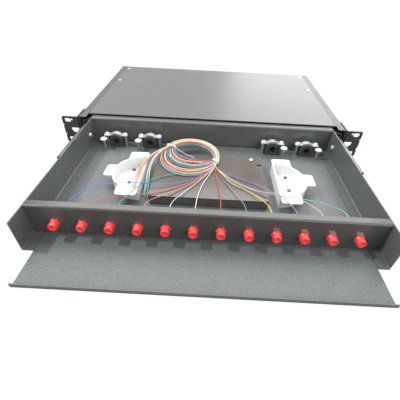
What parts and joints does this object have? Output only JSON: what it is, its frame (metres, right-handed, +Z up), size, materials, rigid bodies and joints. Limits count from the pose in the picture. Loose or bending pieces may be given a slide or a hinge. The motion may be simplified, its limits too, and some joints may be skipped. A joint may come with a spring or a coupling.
{
  "type": "sliding fibre patch drawer",
  "caption": "Low rack case with a pull-out drawer on ball slides, a front row of capped fibre adapters, a splice tray, fibre spools and cable clamps.",
  "frame": {"origin": "on the underside, midway between the sides, in the front plane of the rack ears", "axes": "+X to the right seen from the front, +Y to the rear, +Z up; the drawer is drawn out to -Y"},
  "size_m": [0.4826, 0.58, 0.0438],
  "materials": {
    "case_steel": "fine-textured black powder coat",
    "cover_steel": "semi-gloss black powder coat",
    "floor_steel": "semi-gloss black powder coat",
    "zinc": "zinc-plated, satin",
    "slide_steel": "zinc-plated cold-rolled strip",
    "ball_cage": "pressed steel, satin",
    "nickel": "nickel-plated brass",
    "red_cap": "soft moulded plastic, slight sheen",
    "white_plastic": "moulded plastic, satin",
    "black_plastic": "moulded plastic, satin",
    "smoked_plastic": "smoked, glossy",
    "black_rubber": "matt rubber",
    "fibre_jacket": "tight-buffered fibre in twelve colours"
  },
  "bodies": {
    "case": {"case_base": "case_steel", "case_cover": "cover_steel", "cover_screws": "zinc", "case_grommets": "black_rubber", "rack_ear_right": "case_steel", "rack_ear_left": "case_steel", "ear_screws": "zinc", "slide_outer_right": "slide_steel", "slide_outer_left": "slide_steel", "slide_spacers": "zinc", "case_slide_screws": "zinc"},
    "drawer": {"drawer_floor": "floor_steel", "drawer_side_right": "case_steel", "drawer_side_left": "case_steel", "drawer_rear_wall": "case_steel", "drawer_grommets": "black_rubber", "adapter_panel": "case_steel", "fc_adapters": "nickel", "adapter_nuts": "nickel", "pigtail_connectors": "nickel", "splice_tray": "black_plastic", "splice_tray_lid": "smoked_plastic", "tray_screws": "zinc", "fibre_spool_right": "white_plastic", "fibre_spool_left": "white_plastic", "spool_screws": "zinc", "clamp_pillars": "zinc", "clamp_rubbers": "black_rubber", "clamp_saddles": "zinc", "clamp_screws": "zinc", "strength_posts": "zinc", "post_caps": "white_plastic", "slide_inner_right": "slide_steel", "slide_inner_left": "slide_steel", "drawer_slide_screws": "zinc", "fibre_coil": "fibre_jacket", "coil_ties": "white_plastic", "pigtail_leads": "fibre_jacket", "pigtail_tails": "fibre_jacket"},
    "slide_middle_right": {"slide_middle_right": "slide_steel"},
    "slide_middle_left": {"slide_middle_left": "slide_steel"},
    "ball_cage_outer_right": {"ball_cage_outer_right": "ball_cage"},
    "ball_cage_outer_left": {"ball_cage_outer_left": "ball_cage"},
    "ball_cage_inner_right": {"ball_cage_inner_right": "ball_cage"},
    "ball_cage_inner_left": {"ball_cage_inner_left": "ball_cage"},
    "dust_cap_01": {"dust_cap_01": "red_cap"},
    "dust_cap_02": {"dust_cap_02": "red_cap"},
    "dust_cap_03": {"dust_cap_03": "red_cap"},
    "dust_cap_04": {"dust_cap_04": "red_cap"},
    "dust_cap_05": {"dust_cap_05": "red_cap"},
    "dust_cap_06": {"dust_cap_06": "red_cap"},
    "dust_cap_07": {"dust_cap_07": "red_cap"},
    "dust_cap_08": {"dust_cap_08": "red_cap"},
    "dust_cap_09": {"dust_cap_09": "red_cap"},
    "dust_cap_10": {"dust_cap_10": "red_cap"},
    "dust_cap_11": {"dust_cap_11": "red_cap"},
    "dust_cap_12": {"dust_cap_12": "red_cap"}
  },
  "joints": [
    {"name": "drawer_slide", "type": "slide", "parent": "case", "child": "drawer", "axis": [0, 1, 0], "range_m": [0, 0.216]},
    {"name": "slide_middle_right_travel", "type": "slide", "parent": "case", "child": "slide_middle_right", "axis": [0, 1, 0], "range_m": [0, 0.108]},
    {"name": "ball_cage_outer_right_travel", "type": "slide", "parent": "case", "child": "ball_cage_outer_right", "axis": [0, 1, 0], "range_m": [0, 0.054]},
    {"name": "ball_cage_inner_right_travel", "type": "slide", "parent": "case", "child": "ball_cage_inner_right", "axis": [0, 1, 0], "range_m": [0, 0.162]},
    {"name": "slide_middle_left_travel", "type": "slide", "parent": "case", "child": "slide_middle_left", "axis": [0, 1, 0], "range_m": [0, 0.108]},
    {"name": "ball_cage_outer_left_travel", "type": "slide", "parent": "case", "child": "ball_cage_outer_left", "axis": [0, 1, 0], "range_m": [0, 0.054]},
    {"name": "ball_cage_inner_left_travel", "type": "slide", "parent": "case", "child": "ball_cage_inner_left", "axis": [0, 1, 0], "range_m": [0, 0.162]},
    {"name": "dust_cap_01_pull", "type": "slide", "parent": "drawer", "child": "dust_cap_01", "axis": [0, -1, 0], "range_m": [0, 0.02]},
    {"name": "dust_cap_02_pull", "type": "slide", "parent": "drawer", "child": "dust_cap_02", "axis": [0, -1, 0], "range_m": [0, 0.02]},
    {"name": "dust_cap_03_pull", "type": "slide", "parent": "drawer", "child": "dust_cap_03", "axis": [0, -1, 0], "range_m": [0, 0.02]},
    {"name": "dust_cap_04_pull", "type": "slide", "parent": "drawer", "child": "dust_cap_04", "axis": [0, -1, 0], "range_m": [0, 0.02]},
    {"name": "dust_cap_05_pull", "type": "slide", "parent": "drawer", "child": "dust_cap_05", "axis": [0, -1, 0], "range_m": [0, 0.02]},
    {"name": "dust_cap_06_pull", "type": "slide", "parent": "drawer", "child": "dust_cap_06", "axis": [0, -1, 0], "range_m": [0, 0.02]},
    {"name": "dust_cap_07_pull", "type": "slide", "parent": "drawer", "child": "dust_cap_07", "axis": [0, -1, 0], "range_m": [0, 0.02]},
    {"name": "dust_cap_08_pull", "type": "slide", "parent": "drawer", "child": "dust_cap_08", "axis": [0, -1, 0], "range_m": [0, 0.02]},
    {"name": "dust_cap_09_pull", "type": "slide", "parent": "drawer", "child": "dust_cap_09", "axis": [0, -1, 0], "range_m": [0, 0.02]},
    {"name": "dust_cap_10_pull", "type": "slide", "parent": "drawer", "child": "dust_cap_10", "axis": [0, -1, 0], "range_m": [0, 0.02]},
    {"name": "dust_cap_11_pull", "type": "slide", "parent": "drawer", "child": "dust_cap_11", "axis": [0, -1, 0], "range_m": [0, 0.02]},
    {"name": "dust_cap_12_pull", "type": "slide", "parent": "drawer", "child": "dust_cap_12", "axis": [0, -1, 0], "range_m": [0, 0.02]}
  ],
  "couplings": [
    {"joint": "slide_middle_right_travel", "follows": "drawer_slide", "ratio": 0.5},
    {"joint": "ball_cage_outer_right_travel", "follows": "drawer_slide", "ratio": 0.25},
    {"joint": "ball_cage_inner_right_travel", "follows": "drawer_slide", "ratio": 0.75},
    {"joint": "slide_middle_left_travel", "follows": "drawer_slide", "ratio": 0.5},
    {"joint": "ball_cage_outer_left_travel", "follows": "drawer_slide", "ratio": 0.25},
    {"joint": "ball_cage_inner_left_travel", "follows": "drawer_slide", "ratio": 0.75}
  ]
}
